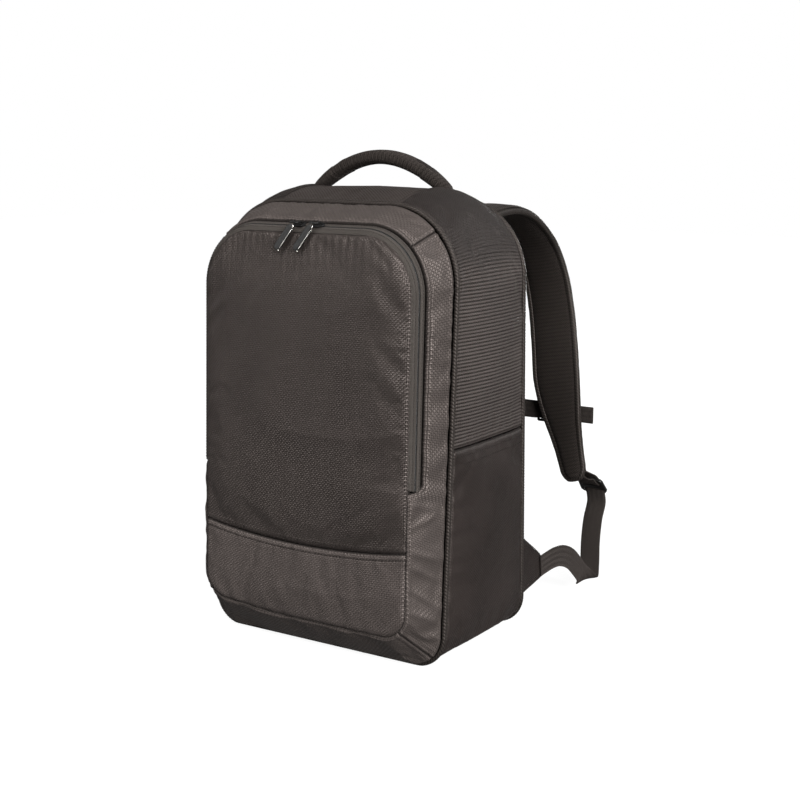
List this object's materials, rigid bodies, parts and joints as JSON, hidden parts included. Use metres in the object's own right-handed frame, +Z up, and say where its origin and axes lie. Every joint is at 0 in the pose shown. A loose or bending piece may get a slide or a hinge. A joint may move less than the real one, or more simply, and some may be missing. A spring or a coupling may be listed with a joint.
{
  "type": "school backpack",
  "caption": "Soft rectangular backpack with a zipped front flap, padded back, carry handle, padded shoulder straps, sternum strap and adjustable lower webbing.",
  "frame": {"origin": "middle of the base panel, on the surface that the bag stands on", "axes": "+X the bag's right hand side seen from the front, +Y towards the wearer's back and straps, +Z up"},
  "size_m": [0.3243, 0.4189, 0.52],
  "materials": {
    "oxford_cloth": "coarse black woven polyester, slight sheen",
    "ribbed_cloth": "dark grey woven polyester with a fine cross rib",
    "air_mesh": "matte black spacer mesh",
    "lining": "smooth grey lining cloth",
    "webbing": "flat black webbing and zip tape",
    "piping": "black covered cord",
    "buckle_plastic": "black acetal, fine texture",
    "board": "black polyethylene board",
    "enamel": "glossy black enamelled zinc"
  },
  "bodies": {
    "pack_body": {"top_gusset": "oxford_cloth", "side_gusset_upper_left": "ribbed_cloth", "side_gusset_lower_left": "oxford_cloth", "side_gusset_upper_right": "ribbed_cloth", "side_gusset_lower_right": "oxford_cloth", "base_panel": "oxford_cloth", "base_board": "board", "back_panel": "air_mesh", "frame_sheet": "board", "sleeve_front": "lining", "sleeve_side_left": "lining", "sleeve_side_right": "lining", "front_piping": "piping", "rear_piping": "piping", "border_top": "oxford_cloth", "border_bottom": "oxford_cloth", "border_left": "oxford_cloth", "border_right": "oxford_cloth", "front_lower_band": "oxford_cloth", "front_face_foot": "oxford_cloth", "zip_tape_body": "webbing", "handle_tab_right": "webbing", "handle_tab_left": "webbing", "back_pad_left": "air_mesh", "back_pad_right": "air_mesh", "lumbar_pad": "air_mesh", "strap_yoke": "webbing", "lower_webbing_left": "webbing", "wing_left": "oxford_cloth", "lower_webbing_right": "webbing", "wing_right": "oxford_cloth"},
    "front_flap": {"flap_face": "oxford_cloth", "flap_lining": "lining", "zip_tape_flap": "webbing"},
    "zip_slider_left": {"zip_slider_left": "enamel"},
    "zip_slider_right": {"zip_slider_right": "enamel"},
    "zip_pull_left": {"zip_pull_left": "enamel"},
    "zip_pull_right": {"zip_pull_right": "enamel"},
    "handle": {"handle_grip": "air_mesh"},
    "strap_left": {"strap_pad_left": "air_mesh", "strap_webbing_left": "webbing", "sternum_webbing_left": "webbing", "sternum_buckle_socket": "buckle_plastic"},
    "strap_right": {"strap_pad_right": "air_mesh", "strap_webbing_right": "webbing", "sternum_webbing_right": "webbing"},
    "ladder_lock_left": {"ladder_lock_left": "buckle_plastic"},
    "ladder_lock_right": {"ladder_lock_right": "buckle_plastic"},
    "buckle_tongue": {"sternum_buckle_tongue": "buckle_plastic"}
  },
  "joints": [
    {"name": "flap_open", "type": "hinge", "parent": "pack_body", "child": "front_flap", "pos_m": [0, -0.1206, 0.19], "axis": [1, 0, 0], "range_deg": [0, 100]},
    {"name": "slider_left_travel", "type": "slide", "parent": "pack_body", "child": "zip_slider_left", "axis": [-1, 0, 0], "range_m": [0, 0.05]},
    {"name": "slider_right_travel", "type": "slide", "parent": "pack_body", "child": "zip_slider_right", "axis": [1, 0, 0], "range_m": [0, 0.05]},
    {"name": "pull_left_lift", "type": "hinge", "parent": "zip_slider_left", "child": "zip_pull_left", "pos_m": [-0.012, -0.11361, 0.4505], "axis": [-1, 0, 0], "range_deg": [0, 100]},
    {"name": "pull_right_lift", "type": "hinge", "parent": "zip_slider_right", "child": "zip_pull_right", "pos_m": [0.012, -0.11361, 0.4505], "axis": [-1, 0, 0], "range_deg": [0, 100]},
    {"name": "handle_tilt", "type": "hinge", "parent": "pack_body", "child": "handle", "pos_m": [0, 0.028, 0.486], "axis": [1, 0, 0], "range_deg": [-25, 25], "stiffness_Nm_per_rad": 0.5},
    {"name": "strap_left_swing", "type": "hinge", "parent": "pack_body", "child": "strap_left", "pos_m": [0, 0.087, 0.44], "axis": [1, 0, 0], "range_deg": [-8, 12], "stiffness_Nm_per_rad": 14, "deforming": ["lower_webbing_left"]},
    {"name": "strap_right_swing", "type": "hinge", "parent": "pack_body", "child": "strap_right", "pos_m": [0, 0.087, 0.44], "axis": [1, 0, 0], "range_deg": [-8, 12], "stiffness_Nm_per_rad": 14, "deforming": ["lower_webbing_right"]},
    {"name": "lock_left_tilt", "type": "hinge", "parent": "strap_left", "child": "ladder_lock_left", "pos_m": [-0.136, 0.2762, 0.1243], "axis": [1, 0, 0], "range_deg": [-20, 30], "stiffness_Nm_per_rad": 0.02},
    {"name": "lock_right_tilt", "type": "hinge", "parent": "strap_right", "child": "ladder_lock_right", "pos_m": [0.136, 0.2762, 0.1243], "axis": [1, 0, 0], "range_deg": [-20, 30], "stiffness_Nm_per_rad": 0.02},
    {"name": "buckle_release", "type": "slide", "parent": "strap_right", "child": "buckle_tongue", "axis": [1, 0, 0], "range_m": [0, 0.024], "deforming": ["sternum_webbing_right"]}
  ],
  "couplings": [
    {"joint": "strap_right_swing", "follows": "strap_left_swing", "ratio": 1}
  ]
}
